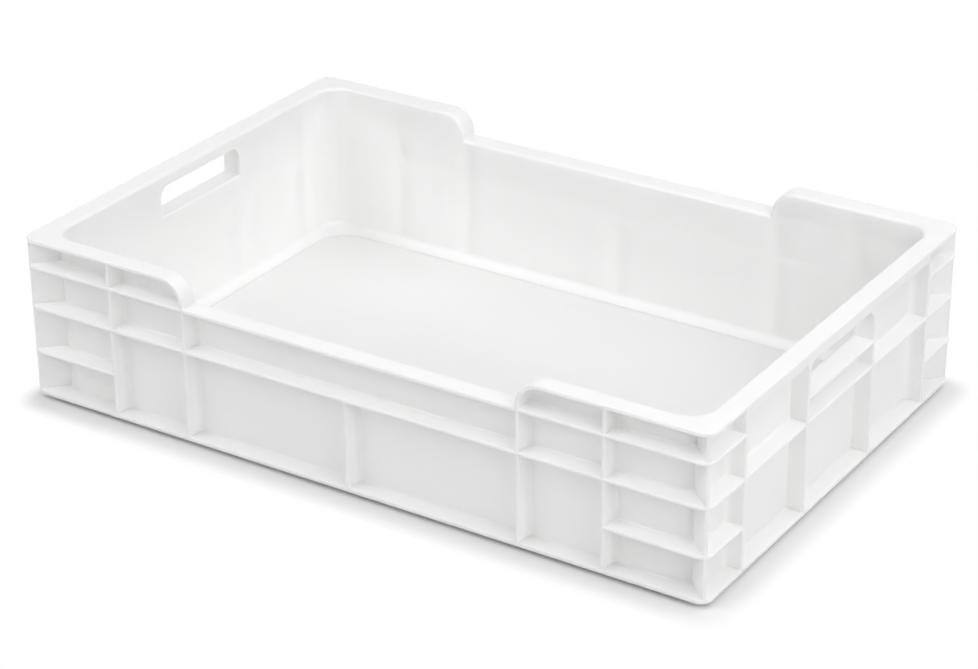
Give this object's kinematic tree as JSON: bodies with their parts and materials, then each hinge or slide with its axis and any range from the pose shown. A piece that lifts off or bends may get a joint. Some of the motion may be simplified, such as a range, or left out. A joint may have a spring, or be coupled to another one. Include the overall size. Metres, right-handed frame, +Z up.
{
  "type": "plastic stacking crate",
  "caption": "Shallow open-topped stacking crate with solid walls, outside ribs, cut-down long sides and a hand hole in each end.",
  "frame": {"origin": "middle of the base's underside, which is the middle of the bounding box's bottom face", "axes": "+X along the length towards the right end, +Y along the width towards the back, +Z up"},
  "size_m": [0.6, 0.4, 0.137],
  "materials": {
    "white_hdpe": "satin, fine moulded texture, slightly translucent"
  },
  "bodies": {
    "root": {"back_base_flange": "white_hdpe", "back_bay_ribs": "white_hdpe", "back_centre_rib": "white_hdpe", "back_corner_ribs": "white_hdpe", "back_curb": "white_hdpe", "back_cut_out_rim": "white_hdpe", "back_left_corner_wall": "white_hdpe", "back_left_corner_web": "white_hdpe", "back_long_rib": "white_hdpe", "back_outer_ribs": "white_hdpe", "back_right_corner_wall": "white_hdpe", "back_right_corner_web": "white_hdpe", "back_rim": "white_hdpe", "back_shoulder_ribs": "white_hdpe", "back_shoulders": "white_hdpe", "back_wall_middle": "white_hdpe", "back_wall_sides": "white_hdpe", "floor_panel": "white_hdpe", "front_base_flange": "white_hdpe", "front_bay_ribs": "white_hdpe", "front_centre_rib": "white_hdpe", "front_corner_ribs": "white_hdpe", "front_curb": "white_hdpe", "front_cut_out_rim": "white_hdpe", "front_left_corner_wall": "white_hdpe", "front_left_corner_web": "white_hdpe", "front_long_rib": "white_hdpe", "front_outer_ribs": "white_hdpe", "front_right_corner_wall": "white_hdpe", "front_right_corner_web": "white_hdpe", "front_rim": "white_hdpe", "front_shoulder_ribs": "white_hdpe", "front_shoulders": "white_hdpe", "front_wall_middle": "white_hdpe", "front_wall_sides": "white_hdpe", "left_apron": "white_hdpe", "left_base_flange": "white_hdpe", "left_corner_ribs": "white_hdpe", "left_cross_ribs": "white_hdpe", "left_curb": "white_hdpe", "left_hand_hole_surround": "white_hdpe", "left_handle_ribs": "white_hdpe", "left_handle_shelf": "white_hdpe", "left_outer_ribs": "white_hdpe", "left_rim": "white_hdpe", "left_wall_below_handle": "white_hdpe", "left_wall_sides": "white_hdpe", "right_apron": "white_hdpe", "right_base_flange": "white_hdpe", "right_corner_ribs": "white_hdpe", "right_cross_ribs": "white_hdpe", "right_curb": "white_hdpe", "right_hand_hole_surround": "white_hdpe", "right_handle_ribs": "white_hdpe", "right_handle_shelf": "white_hdpe", "right_outer_ribs": "white_hdpe", "right_rim": "white_hdpe", "right_wall_below_handle": "white_hdpe", "right_wall_sides": "white_hdpe"}
  },
  "joints": []
}
